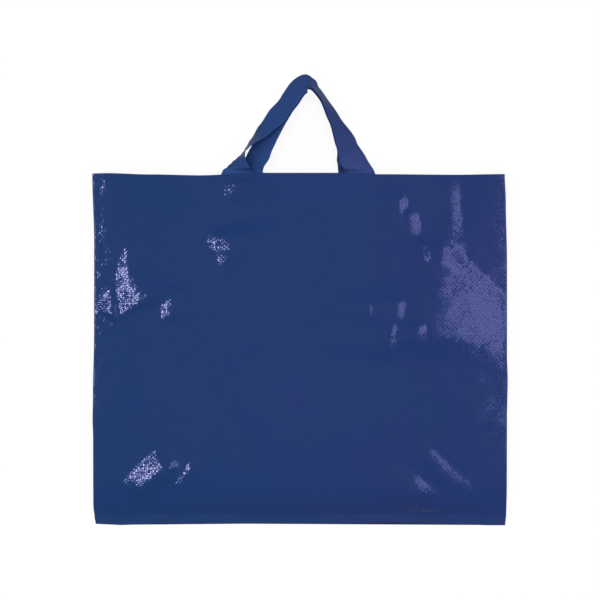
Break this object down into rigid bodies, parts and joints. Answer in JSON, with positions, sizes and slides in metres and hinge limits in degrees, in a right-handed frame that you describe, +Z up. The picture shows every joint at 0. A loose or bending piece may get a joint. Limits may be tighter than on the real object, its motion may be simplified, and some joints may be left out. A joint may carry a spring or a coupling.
{
  "type": "laminated shopping bag",
  "caption": "Wide woven shopping bag with a glossy laminate, empty and lying on its back: folded side gussets, pressed bottom seam, open mouth and flat strap handles.",
  "frame": {"origin": "on the floor, under the middle of the whole part as it lies", "axes": "+X across the bag to the right as the front panel is seen, +Y from the bottom seam to the handles, +Z up, out of the front panel"},
  "size_m": [0.502, 0.5446, 0.0393],
  "materials": {
    "laminate": "glossy film over a plain weave of flat tapes, dark navy blue"
  },
  "bodies": {
    "root": {"bag_body": "laminate", "front_handle": "laminate", "back_handle": "laminate"}
  },
  "joints": []
}
